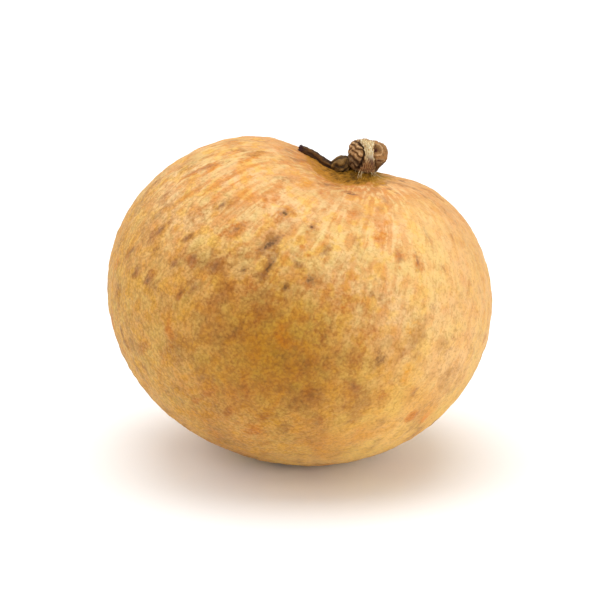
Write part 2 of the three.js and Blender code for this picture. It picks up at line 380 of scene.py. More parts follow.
def grainGroup():
    # The powdery grain that every dry surface of the fruit has: two sizes of noise, as a mask round 0.5
    # and as a height.
    group = bpy.data.node_groups.new("Powdery grain", "ShaderNodeTree")
    for side, name, kind in (
        ("INPUT", "Place", "NodeSocketVector"),
        ("INPUT", "Coarse scale", "NodeSocketFloat"),
        ("INPUT", "Fine scale", "NodeSocketFloat"),
        ("OUTPUT", "Mask", "NodeSocketFloat"),
        ("OUTPUT", "Height", "NodeSocketFloat"),
    ):
        group.interface.new_socket(name, in_out=side, socket_type=kind)
    shading = Shading(group)
    given = shading.node("NodeGroupInput").outputs
    halves = []
    for scale in ("Coarse scale", "Fine scale"):
        inputs = {"Vector": given["Place"], "Scale": given[scale], "Detail": 3.0, "Roughness": 0.6}
        halves.append(shading.times(shading.node("ShaderNodeTexNoise", inputs).outputs["Fac"], 0.5))
    both = shading.plus(*halves)
    shading.node("NodeGroupOutput", {"Mask": shading.ramp(both, 0.36, 0.64), "Height": both})
    return group


powderyGrain = grainGroup()


def grain(shading, place, coarse, fine):
    # Sizes in millimetres
    inputs = {"Place": place, "Coarse scale": 1 / (coarse * mm), "Fine scale": 1 / (fine * mm)}
    made = shading.node("ShaderNodeGroup", inputs, node_tree=powderyGrain)
    return made.outputs["Mask"], made.outputs["Height"]


# The skin's russet patches, one on each pebble. Each has half-sizes, a turn from the line that runs down
# from the stalk, a strength, a tone from orange to grey-brown, and perhaps a dark core.
patchForm = {
    "shift": 0.035,  # from the pebble's middle, on the unit sphere
    "halfLength": (0.6, 1.25),  # millimetres, least and most
    "halfWidth": (0.35, 0.7),
    "shoulder": (0.15, 0.6),  # cosine of the angle from the stalk's line where the shoulders start
    "longer": 1.55,  # how much longer and slimmer they are on the shoulders
    "turn": 32,  # degrees, most
    "faintest": 0.15,
    "coreShare": 0.34,
    "coreHalfLength": (0.16, 0.42),
    "coreHalfWidth": (0.07, 0.15),
    "coreDarkness": (0.15, 0.55),
    "coreShift": (0.5, 0.3),  # most, in shares of the patch's half-sizes
    "coreEdge": (1.8, 2.8),
    "noCore": (0.01, 0.01, 0.0),
    "edge": (0.2, 1.6),  # where a patch is whole and where it ends, in shares of its half-sizes
    "reach": 2.6,  # past which a patch isn't worked out
    "clusterSize": 5.5,  # of the parts of the skin where patches are stronger or weaker
    "raggedness": 0.34,
    "raggedSizes": (1.5, 0.7),
    "height": 0.03,
    "markRoom": 1.45,  # round each mark, without random patches
    "seed": 11,
}

# Marks of this fruit: around, down, half-length, half-width, turn, strength, tone, and perhaps the
# core's half-length, half-width and darkness.
fruitMarks = [
    (113.5, 58, 0.95, 0.7, -40, 0.95, 0.45, 0.22, 0.18, 1.0),
    (92.5, 73.7, 0.9, 0.6, -4, 0.75, 0.4, 0.2, 0.18, 1.0),
    (101.5, 57, 0.9, 0.5, -20, 0.8, 0.45, 0.17, 0.14, 1.0),
    (96, 30, 0.5, 0.35, 88, 0.4, 0.3, 0.34, 0.2, 1.0),
    (110, 70.2, 1.2, 0.72, -17, 1.15, 0.65, 0.68, 0.19, 1.0),
    (106, 76.5, 0.95, 0.45, 0, 1.05, 0.62, 0.66, 0.16, 0.95),
    (122, 71.5, 1.1, 0.5, -23, 1.0, 0.35, 0.36, 0.14, 0.75),
    (98, 79, 0.5, 0.35, -24, 0.75, 0.6, 0.22, 0.16, 0.9),
    (139, 100, 0.7, 0.42, -14, 0.8, 0.6, 0.22, 0.14, 0.8),
    (146, 101, 0.9, 0.5, -24, 0.75, 0.6, 0.3, 0.15, 0.7),
    (121, 89.5, 0.35, 0.3, 0, 0.8, 0.0),
    (114, 90, 1.3, 1.0, -4, 0.6, 0.55, 0.4, 0.2, 0.4),
    (145, 86, 1.1, 0.5, -19, 0.85, 0.6, 0.35, 0.15, 0.75),
    (153, 97, 1.2, 0.5, -29, 0.75, 0.55, 0.3, 0.14, 0.7),
    (133, 68.5, 0.85, 0.45, -10, 0.9, 0.6, 0.3, 0.13, 0.75),
    (123.5, 55, 1.2, 0.6, 11, 1.0, 0.25),
    (58, 54, 0.9, 0.42, 11, 0.8, 0.4, 0.47, 0.1, 0.7),
    (65.5, 54.5, 1.0, 0.5, 18, 0.8, 0.3, 0.3, 0.12, 0.6),
    (101, 88.5, 1.4, 1.0, -9, 0.6, 0.5, 0.35, 0.16, 0.4),
    (155, 63, 2.1, 0.42, -22, 1.1, 0.35, 0.9, 0.12, 0.55),
    (126, 70, 0.6, 0.4, -20, 0.15, 0.3),
    (110, 38.5, 0.7, 0.4, 0, 0.4, 0.2),
    (75, 105, 1.2, 0.8, 10, 0.6, 0.6, 0.3, 0.18, 0.6),
    (65, 97, 1.3, 0.8, 60, 0.6, 0.55, 0.3, 0.15, 0.6),
    (69, 90, 1.3, 0.9, 10, 0.55, 0.55, 0.2, 0.14, 0.4),
    (81, 97, 1.5, 1.1, -20, 0.6, 0.6, 0.3, 0.2, 0.4),
    (56, 83, 1.6, 0.8, -30, 0.5, 0.55, 0.3, 0.14, 0.5),
    (44, 92, 0.9, 0.6, 0, 0.45, 0.5, 0.24, 0.1, 0.7),
    (54, 97, 1.2, 0.9, 20, 0.5, 0.5, 0.15, 0.1, 0.4),
    (67, 114, 1.0, 0.6, 30, 0.55, 0.55, 0.25, 0.14, 0.6),
    (81, 88, 1.3, 0.9, 20, 0.55, 0.55, 0.2, 0.12, 0.3),
    (69, 80, 1.6, 1.0, -10, 0.5, 0.4, 0.2, 0.12, 0.3),
    (81, 75, 1.4, 1.0, 15, 0.5, 0.35, 0.25, 0.12, 0.4),
    (105, 98, 1.2, 0.8, -15, 0.6, 0.6, 0.25, 0.15, 0.4),
    (100, 67, 1.3, 0.6, -20, 0.55, 0.3, 0.2, 0.12, 0.3),
    (116.5, 76, 1.0, 0.6, -30, 0.5, 0.35),
    (133.5, 82.5, 0.6, 0.32, -26, 1.0, 0.6, 0.35, 0.13, 0.7),
    (132.5, 91, 0.6, 0.42, -11, 1.0, 0.6, 0.25, 0.14, 0.65),
    (127.5, 86.5, 0.65, 0.45, 9, 0.9, 0.5, 0.35, 0.16, 0.7),
    (125.5, 97, 0.6, 0.36, -11, 1.1, 0.5, 0.35, 0.13, 0.7),
    (122.5, 93.5, 0.8, 0.6, -27, 1.0, 0.6, 0.3, 0.18, 0.65),
    (120, 84.5, 1.0, 0.6, 0, 1.0, 0.6, 0.35, 0.18, 0.65),
    (112, 81, 0.25, 0.2, -26, 0.6, 0.5, 0.16, 0.13, 0.9),
    (51, 45, 0.8, 0.22, 17, 0.35, 0.6, 0.65, 0.09, 0.5),
    (45.5, 54, 0.4, 0.25, 31, 0.5, 0.5, 0.25, 0.1, 0.5),
    (31.5, 59, 0.9, 0.22, -25, 0.5, 0.45, 0.6, 0.08, 0.3),
    (49.5, 66.5, 0.45, 0.3, 49, 0.5, 0.6, 0.2, 0.1, 0.5),
    (71, 29.5, 0.8, 0.5, 15, 0.6, 0.35, 0.3, 0.12, 0.5),
    (31, 25, 0.5, 0.25, -27, 0.5, 0.5, 0.25, 0.09, 0.4),
    (35, 43.5, 0.6, 0.22, 0, 0.4, 0.5, 0.3, 0.08, 0.4),
    (90, 43.5, 0.8, 0.5, 42, 0.7, 0.25),
    (74.5, 46, 1.2, 0.5, 8, 0.8, 0.3),
    (113, 75.5, 0.8, 0.5, -18, 0.75, 0.4),
    (98, 71, 0.7, 0.32, 72, 0.8, 0.6, 0.4, 0.11, 0.6),
    (92.5, 62.5, 0.85, 0.34, -4, 0.8, 0.7, 0.4, 0.12, 0.6),
    (108.5, 59.5, 0.45, 0.3, 60, 0.55, 0.6),
    (106.5, 49.5, 0.6, 0.3, 78, 0.6, 0.5),
    (101.5, 47, 0.6, 0.35, -8, 0.65, 0.3),
    (136.5, 54.5, 0.7, 0.45, 5, 0.9, 0.1),
    (163, 58.5, 0.7, 0.3, 5, 0.6, 0.4),
    (143.5, 47, 0.35, 0.25, -29, 0.5, 0.5),
    (142.5, 40, 1.0, 0.3, -30, 0.6, 0.4),
    (156, 77.5, 0.4, 0.22, 21, 0.7, 0.5, 0.2, 0.08, 0.5),
]


def patchTable():
    # A patch for each pebble with random sizes, less those that stand on a mark, then the marks.
    form = patchForm
    draw = np.random.default_rng(form["seed"])
    count = len(pebbleSeeds)
    ways = unit(pebbleSeeds + form["shift"] * draw.uniform(-1, 1, (count, 3)))
    onShoulder = smoothStep(*form["shoulder"], abs(ways @ stalkWay)) * draw.random(count)
    longer = 1 + (form["longer"] - 1) * onShoulder
    hasCore = draw.random(count) < form["coreShare"]
    clusters = 0.85 + 0.45 * softNoise(ways * fruitForm["meanRadius"], form["clusterSize"], 23)
    clusters = np.clip(clusters, 0.3, 1.2)

    def coreSize(key):
        return np.where(hasCore, draw.uniform(*form[key], count), form["noCore"][0])

    columns = [
        draw.uniform(*form["halfLength"], count) * longer,
        draw.uniform(*form["halfWidth"], count) / longer,
        draw.uniform(-1, 1, count) * form["turn"],
        (form["faintest"] + (1 - form["faintest"]) * draw.random(count) ** 1.5) * clusters,
        draw.random(count),
        coreSize("coreHalfLength") * longer,
        coreSize("coreHalfWidth"),
        np.where(hasCore, draw.uniform(*form["coreDarkness"], count), 0),
    ]
    columns += [draw.uniform(-most, most, count) for most in form["coreShift"]]
    table = np.stack(columns, 1)
    marks = np.array([(*mark, *form["noCore"])[:10] for mark in fruitMarks], float)
    markWays = wayAt(marks[:, 0], marks[:, 1])
    clear = (ways @ markWays.T).max(1) < math.cos(form["markRoom"] / fruitForm["meanRadius"])
    markTable = np.hstack([marks[:, 2:], np.zeros((len(marks), 2))])
    return np.vstack([ways[clear], markWays]), np.vstack([table[clear], markTable])


def patchFields(ways, radius):
    # Near each patch, the place on the skin is turned into lengths along and across the patch. The
    # patch fades out with its elliptic distance, and its core is kept as a place of its own, so that
    # the shader can draw it finer than the mesh.
    form = patchForm
    centres, table = patchTable()
    places = ways * radius[:, None]
    wide, narrow = (softNoise(places, size, 21 + k) for k, size in enumerate(form["raggedSizes"]))
    ragged = form["raggedness"] * wide + 0.5 * form["raggedness"] * narrow
    patches, tones = np.zeros(len(ways)), np.full(len(ways), 0.5)
    cores = np.zeros((len(ways), 3))
    coreBest = np.full(len(ways), np.inf)
    for centre, row in zip(centres, table):
        halfLength, halfWidth, turn, strength, tone, coreLong, coreWide, coreDark, along, across = row
        near = np.flatnonzero(ways @ centre > math.cos(form["reach"] * halfLength / fruitForm["meanRadius"]))
        downWay = unit(centre * (centre @ stalkWay) - stalkWay)
        crossWay = np.cross(centre, downWay)
        c, s = math.cos(math.radians(turn)), math.sin(math.radians(turn))
        offset = (ways[near] - centre) * radius[near, None]
        u = offset @ (downWay * c + crossWay * s)
        v = offset @ (crossWay * c - downWay * s)
        distance = np.hypot(u / halfLength, v / halfWidth) + ragged[near]
        field = strength * (1 - smoothStep(*form["edge"], distance))
        better = field > patches[near]
        patches[near] = np.where(better, field, patches[near])
        tones[near] = np.where(better, tone, tones[near])
        if coreDark > 0:
            coreU = (u - along * halfLength) / coreLong
            coreV = (v - across * halfWidth) / coreWide
            reach = np.hypot(coreU, coreV)
            gate = coreDark * (1 - smoothStep(*form["coreEdge"], reach))
            closer = (reach < coreBest[near]) & (gate > 0)
            take = near[closer]
            coreBest[take] = reach[closer]
            cores[take] = np.stack([coreU[closer], coreV[closer], gate[closer]], 1)
    return patches, tones, cores


# Small forms, fields and colours of the skin, in millimetres
skinForm = {
    "bumps": [(0.02, 0.9, 32), (0.01, 0.42, 33)],  # height, size, seed
    "seatMiddle": (1.75, -0.5),  # x, y of the olive skin round the stalk and the bud
    "seatHalves": (3.6, 3.5),
    "seatEdge": (0.3, 1.15),
    "seatRaggedness": 0.1,
    "seatHeight": 0.06,
    "granules": (0.05, 0.34, 34),  # of the olive skin: height, size, seed
    "pitDepth": 0.12,
    "pitEdge": (0.5, 1.6),
    "pitDarkness": 0.86,  # of a core, past which it is a pit
    "riperAndShadedWay": (91, 98),  # around and down, of the darker side: partly riper skin, partly painted shade
    "riperAndShadedReach": 29,  # degrees
    "netWay": (97, 52),  # around and down, where the pale lines between pebbles show most
    "netReach": 0.35,  # of the unit sphere
    "netStrength": (0.08, 0.32),  # everywhere, and more there
    "netWidth": 0.3,
    "noises": [  # size, detail, roughness, field
        (3.4, 3.0, 0.55, 1),  # clouds
        (1.15, 2.0, 0.5, 2),  # blotches
        (0.42, 2.0, 0.5, 3),  # flecks
        (0.55, 2.0, 0.5, 4),  # light flecks
        (0.2, 2.0, 0.6, 6),  # fine grains
        (4.2, 1.0, 0.5, 8),  # stains
        (2.3, 3.0, 0.6, 9),  # shadows
        (0.95, 2.0, 0.5, 10),  # hues
    ],
    "smears": [  # how often they change round the stalk and down from it, field
        ((7, 7, 6), 5),
        ((6, 6, 13), 11),  # short
        ((6.5, 6.5, 3), 12),  # long
        ((17, 17, 10), 7),  # fine
    ],
    "grainSizes": (0.31, 0.17),
    "granuleSize": 0.25,
    "tints": {
        "golden": "dfb772",
        "peach": "e0b47d",
        "cream": "f5d6a2",
        "orangeTan": "cf8a46",
        "orange": "c67b34",
        "amber": "d8952e",
        "russet": "a47238",
        "greyBrown": "94683c",
        "mauve": "966a4a",
        "core": "4a3220",
        # Painted shade lower down
        "paintedLowShade": "f2e6ba",
        # The darker side's tint: partly riper skin, partly painted shade
        "riperAndShadedTint": "ccbb62",
        "olive": "865d14",
        "oliveLight": "bb8f3e",
        "oliveDark": "50350c",
        "seatOuter": "b27a2e",
        "red": "b8503a",
        "sheen": "ffe3b8",
        # These are linear factors.
        "grainDark": (0.78, 0.72, 0.57),
        "grainLight": (1.17, 1.24, 1.48),
        "moreOrange": (1.1, 0.94, 0.6),
        "paler": (0.94, 1.05, 1.54),
        # Painted shade towards the stalk
        "paintedShadeTowardsSeat": (0.93, 0.89, 0.86),
        # Painted light low on the right limb, and painted shade higher on it
        "paintedLimbLight": (1.17, 1.29, 1.5),
        "paintedLimbShade": (0.93, 0.86, 0.76),
        # Painted shade round the olive skin by the stalk
        "paintedShadeRoundSeat": (0.86, 0.76, 0.6),
        "gapDark": (0.82, 0.77, 0.68),
        "granuleLight": (1.18, 1.22, 1.36),
    },
}


def seatShare(places):
    # 1 on the olive skin round the stalk and the bud, 0 away from it.
    form = skinForm
    away = np.linalg.norm((places[:, :2] - np.array(form["seatMiddle"])) / form["seatHalves"], axis=1)
    away = away + form["seatRaggedness"] * softNoise(places * (1, 1, 0), 1.3, 31)
    return np.where(places[:, 2] > 0, 1 - smoothStep(*form["seatEdge"], away), 0)


def makeSkin():
    # The smooth radius plus its relief, on a grid of meridians about the stalk. The whole leans, sits in
    # the fruit's box and is cut flat where it rests.
    form, small = fruitForm, skinForm
    down = np.linspace(0, 180, form["rows"] + 2)[1:-1, None]
    around = np.linspace(0, 360, form["columns"], endpoint=False)[None, :]
    ways = np.vstack([wayAt(around, down).reshape(-1, 3), stalkWay, -stalkWay])
    smooth = smoothRadius(ways)
    places = ways * smooth[:, None]
    patches, tones, cores = patchFields(ways, smooth)
    pebbles, edges = pebbleRelief(ways)
    seat = seatShare(places)
    bumps = sum(height * softNoise(places, size, seed) for height, size, seed in small["bumps"])
    granuleHeight, granuleSize, granuleSeed = small["granules"]
    granules = granuleHeight * softNoise(places, granuleSize, granuleSeed)
    core = np.hypot(cores[:, 0], cores[:, 1])
    pits = np.where(cores[:, 2] > small["pitDarkness"], 1 - smoothStep(*small["pitEdge"], core), 0)
    relief = pebbles * (1 - insideOval(ways, "calm")) + bumps + patchForm["height"] * patches
    relief = relief - small["pitDepth"] * pits + small["seatHeight"] * seat**2 + granules * seat
    leaned = (ways * (smooth + relief)[:, None]) @ leanMatrix.T
    shift = (lowCorner + highCorner) / 2 - (leaned.min(0) + leaned.max(0)) / 2
    shift[2] = highCorner[2] - leaned[:, 2].max()
    leaned = leaned + shift
    leaned[:, 2] = np.maximum(leaned[:, 2], 0)  # the small flat that it rests on
    body = leaned[:-2].reshape(form["rows"], form["columns"], 3)
    points, faces = closedGrid(body, leaned[-2], leaned[-1])
    made = meshObject("longan_skin", points * mm, faces)
    riperAndShadedAngle = np.degrees(np.arccos(np.clip(ways @ wayAt(*small["riperAndShadedWay"]), -1, 1)))
    netDistance = np.linalg.norm(ways - wayAt(*small["netWay"]), axis=1)
    netted = small["netStrength"][0] + small["netStrength"][1] * bell(netDistance / small["netReach"])
    angle = np.arctan2(ways @ frontWay, ways @ sideWay)
    fall = np.arccos(np.clip(ways @ stalkWay, -1, 1))
    addField(made, "patches", patches)
    addField(made, "tones", tones)
    addField(made, "cores", cores)
    addField(made, "seat", seat)
    # The darker side: partly riper skin, partly painted shade
    addField(made, "riperAndShadedSide", bell(riperAndShadedAngle / small["riperAndShadedReach"]))
    addField(made, "net", bell(edges / small["netWidth"]) * netted * (1 - seat))
    addField(made, "meridians", np.stack([np.cos(angle) * 3, np.sin(angle) * 3, fall], 1))
    return made, shift


def skinMaterial():
    # Fall is the angle from the stalk, and rightward runs from -3 on the left to 3 on the right.
    form = skinForm
    made, shading = newMaterial("Longan skin", form["tints"])
    mix, laid, ramp, plus, times = shading.mix, shading.laid, shading.ramp, shading.plus, shading.times
    place, meridians = shading.place(), shading.vector("meridians")
    patches, tones, seat, riperAndShadedSide, net = shading.values("patches", "tones", "seat", "riperAndShadedSide", "net")
    rightward, _, fall = shading.split(meridians)
    coreU, coreV, coreGate = shading.split(shading.vector("cores"))
    cloud, blotch, fleck, lightFleck, fine, stain, shadow, hue = (
        shading.noise(place, size * mm, *rest) for size, *rest in form["noises"]
    )
    smear, shortSmear, longSmear, fineSmear = (
        shading.noise(shading.scaled(meridians, often), 1.0, field=field) for often, field in form["smears"]
    )
    grainMask, grainHeight = grain(shading, place, *form["grainSizes"])
    cells = shading.node("ShaderNodeTexVoronoi", {"Vector": place, "Scale": 1 / (form["granuleSize"] * mm)})
    granule = ramp(plus(cells.outputs["Distance"], shading.wobble(fine, 0.2)), 0.72, 0.16)
    upper = ramp(fall, 2.0, 1.1, 0.3, 1.0)
    lower = shading.math("SUBTRACT", 1.0, upper)
    nearStalk = ramp(fall, 0.95, 0.35)
    calmer = ramp(rightward, 0.6, 2.6, 1.0, 0.45)
    away = times(upper, ramp(fall, 0.85, 0.35, 1.0, 0.4), calmer)

    # Ground: golden and peach clouds, orange smears along the meridians and cream flecks between them
    strokes = times(ramp(longSmear, 0.52, 0.62, 0, 0.9), ramp(fall, 1.5, 1.15), ramp(rightward, -0.4, -1.8))
    strokes = times(strokes, ramp(fall, 0.7, 1.0, 0.4, 1.0), ramp(fleck, 0.34, 0.56, 0.35, 1.0))
    layers = [
        (times(ramp(plus(smear, blotch), 0.92, 1.2, 0, 0.65), away), "orangeTan"),
        (times(ramp(plus(smear, lightFleck), 0.98, 0.74, 0, 0.27), away), "cream"),
        (times(ramp(fineSmear, 0.54, 0.74, 0, 0.55), upper, calmer), "orange"),
        (strokes, "orangeTan"),
        (times(ramp(shortSmear, 0.4, 0.56, 0.2, 1.0), nearStalk, calmer), "orangeTan"),
        (times(ramp(shortSmear, 0.44, 0.34, 0, 0.5), nearStalk, calmer), "cream"),
        (times(net, ramp(fleck, 0.3, 0.6, 0.2, 0.9)), "cream"),
        (times(ramp(stain, 0.5, 0.7, 0, 0.5), lower), "orange"),
    ]
    skin = laid(mix(ramp(cloud, 0.36, 0.64), "golden", "peach"), layers)
    # Painted shade: the skin darker lower down
    skin = mix(ramp(fall, 1.2, 1.75), skin, "paintedLowShade", "MULTIPLY")
    shaded = times(ramp(shadow, 0.49, 0.68, 0, 0.7), ramp(fall, 0.9, 1.5, 0.25, 1.0))
    skin = mix(times(shaded, ramp(fleck, 0.35, 0.6, 0.5, 1.0)), skin, "russet")

    # Patches: soft low down, with ragged edges and light breaks on the shoulders
    ragged = times(plus(shading.wobble(fleck, 0.33), shading.wobble(fine, 0.1)), upper)
    breaks = times(ramp(lightFleck, 0.6, 0.36, 0, 0.45), upper)
    mask = times(ramp(plus(patches, ragged), 0.05, 1.15), shading.math("SUBTRACT", 1.0, breaks))
    mask = times(mask, ramp(fine, 0.34, 0.58, 0.75, 1.0), ramp(fall, 1.1, 1.8, 1.0, 1.35))
    patchTint = mix(ramp(tones, 0.05, 0.2), "amber", "orange")
    patchTint = laid(patchTint, [(ramp(tones, 0.25, 0.8), "russet"), (ramp(tones, 0.75, 0.95), "greyBrown")])
    reach = shading.math("SQRT", plus(times(coreU, coreU), times(coreV, coreV)))
    reach = plus(reach, shading.wobble(fine, 0.7))
    layers = [
        (mask, patchTint),
        (times(ramp(reach, 2.3, 0.7, 0, 0.6), coreGate), "mauve"),
        (times(ramp(reach, 0.9, 0.2), ramp(coreGate, 0.4, 1.0, 0, 0.65)), "core"),
        (ramp(times(fleck, fine), 0.43, 0.5, 0, 0.6), "red"),
    ]
    skin = laid(skin, layers)

    # Parts that are more orange or paler, the darker side that is partly riper skin and partly painted
    # shade, painted light low on the right limb and painted shade higher on it, and painted shade towards
    # the stalk
    layers = [
        (ramp(rightward, 2.4, 0.6, 0.4, 1.0), mix(ramp(hue, 0.36, 0.64), "paler", "moreOrange")),
        (riperAndShadedSide, "riperAndShadedTint"),
        # Painted light low on the right limb, and painted shade higher on it
        (times(ramp(rightward, 1.2, 2.6), ramp(fall, 1.4, 1.95)), "paintedLimbLight"),
        (times(ramp(rightward, 1.9, 2.6), ramp(fall, 1.45, 1.1)), "paintedLimbShade"),
        # Painted shade towards the stalk and round the olive skin
        (times(ramp(fall, 1.0, 0.7), ramp(rightward, 1.5, 0.0, 0.1, 1.0)), "paintedShadeTowardsSeat"),
        (times(ramp(fall, 0.66, 0.5), ramp(rightward, 1.4, -1.6, 0.3, 1.0)), "paintedShadeRoundSeat"),
    ]
    skin = laid(skin, layers, "MULTIPLY")

    # The olive skin round the stalk
    seatEdge = plus(shading.wobble(lightFleck, 0.36), shading.wobble(fleck, 0.36))
    seatMask = ramp(times(seat, plus(seatEdge, 1.1)), 0.05, 0.56)
    depth = plus(mix(0.5, fleck, fineSmear), times(seat, -0.14))
    layers = [
        (ramp(depth, 0.45, 0.58, 0, 0.85), "oliveLight"),
        (ramp(rightward, 0.8, 2.2, 0, 0.7), "oliveLight"),
        (times(ramp(fall, 0.12, 0.34), ramp(depth, 0.24, 0.5, 0.3, 0.9)), "seatOuter"),
    ]
    skin = mix(seatMask, skin, laid(mix(ramp(depth, 0.27, 0.45), "oliveDark", "olive"), layers))

    # Powdery grain, lighter and greyer or darker and warmer than the skin
    powder = times(ramp(fall, 0.9, 1.6, 0.1, 1.0), ramp(rightward, 2.4, 0.6, 0.2, 1.0))
    layers = [
        (ramp(fall, 0.6, 1.4, 0.6, 1.0), mix(grainMask, "grainDark", "grainLight")),
        (powder, mix(granule, "gapDark", "granuleLight")),
    ]
    normal = shading.bump(plus(grainHeight, times(granule, 0.35)), 0.07 * mm, 0.8)
    inputs = {
        "Base Color": laid(skin, layers, "MULTIPLY"),
        "Roughness": ramp(grainMask, 0, 1, 0.6, 0.8),
        "Normal": shading.bump(plus(fleck, lightFleck), 0.12 * mm, 0.5, Normal=normal),
        "IOR": 1.42,
        "Specular IOR Level": ramp(seatMask, 0, 1, 0.32, 0.1),
        "Sheen Weight": ramp(seatMask, 0, 1, 0.12, 0),
        "Sheen Roughness": 0.45,
        "Sheen Tint": "sheen",
    }
    shading.surface(inputs)
    return made


skin, placeShift = makeSkin()
finishPiece(skin, "longan_skin", skinMaterial(), "fruit")
print("skin made")

# The broken end of the stalk, in its own frame: origin at its foot, +Z up its axis. Millimetres.
stalkForm = {
    "foot": fruitForm["stalkFoot"],
    "lean": -1,  # degrees about Y
    "outline": [  # radius, height
        (0, -0.6), (0.8, -0.58), (0.76, 0), (0.8, 0.24), (0.9, 0.48), (1.06, 0.72), (1.23, 0.98),
        (1.36, 1.28), (1.4, 1.6), (1.35, 1.94), (1.2, 2.2), (0.95, 2.38), (0.55, 2.46), (0, 2.46),
    ],
    "rows": 170,
    "columns": 240,
    "lobes": (0.05, 0.03),  # share of the radius, three and five round
    "neckSwell": 0.38,  # share of the radius, on the bud's side
    "neckHeight": 0.52,
    "neckSpan": 0.42,
    "headRise": (0.2, 0.8),  # heights over which the neck becomes the knob
    "ridgeHeight": 0.05,
    "ridgePitch": 0.42,
    "ridgeRise": (0.6, 0.2),  # how much the bark's ridges climb along x and y
    "hollows": [  # middle, radii, depth
        ((0.62, -1.04, 2.06), (0.38, 0.5, 0.34), 0.32),
        ((0.95, -0.95, 1.28), (0.6, 0.45, 0.12), 0.12),
        ((-0.35, 0.9, 1.6), (0.5, 0.5, 0.6), 0.18),
    ],
    "rimHeight": 0.07,
    "rimPlace": (1.2, 0.22),  # middle and width, in the hollow's radii
    # Height, then the middle of the strip on x, and height, then its half-width
    "stripMiddle": [(-0.6, 0.1), (0.3, 0.12), (0.9, 0.2), (1.67, 0.16), (2.1, 0.06), (2.5, -0.2)],
    "stripHalf": [(-0.6, 0.7), (0.24, 0.62), (0.9, 0.42), (1.67, 0.3), (2.1, 0.33), (2.6, 0.62)],
    "stripEdge": (0.75, 1.1),
    "forkHalf": 0.16,  # of the gap between the two tails at the strip's foot
    "forkTop": 0.62,
    "stripHeight": 0.1,
    "fibreHeight": 0.05,
    "fibrePitch": 0.13,
    "grooves": [(-1.3, 0.22, 1.0), (1.25, 0.18, 0.5)],  # place and width across the strip, strength
    "grooveDepth": 0.14,
    "roughSizes": (0.5, 0.18),
    "roughHeights": (0.022, 0.014),
    "tints": {
        "bark": "82603c",
        "darkBark": "2e1c12",
        "ridge": "c6a276",
        "orange": "a67848",
        "fibre": "dccb9c",
        "fibreTan": "ac8654",
        "footPink": "936549",
        "footDark": "5c3a24",
        "broken": "4a2522",
        "olive": "6b5522",
    },
}


def fromStalk(points):
    # From the stalk's frame to the fruit's.
    return points @ turning(stalkForm["lean"], "Y").T + stalkForm["foot"]


def stripAt(z):
    # The x of the middle of the strip of torn fibre, and its half-width, at each height.
    return (np.interp(z, *np.array(stalkForm[key]).T) for key in ("stripMiddle", "stripHalf"))


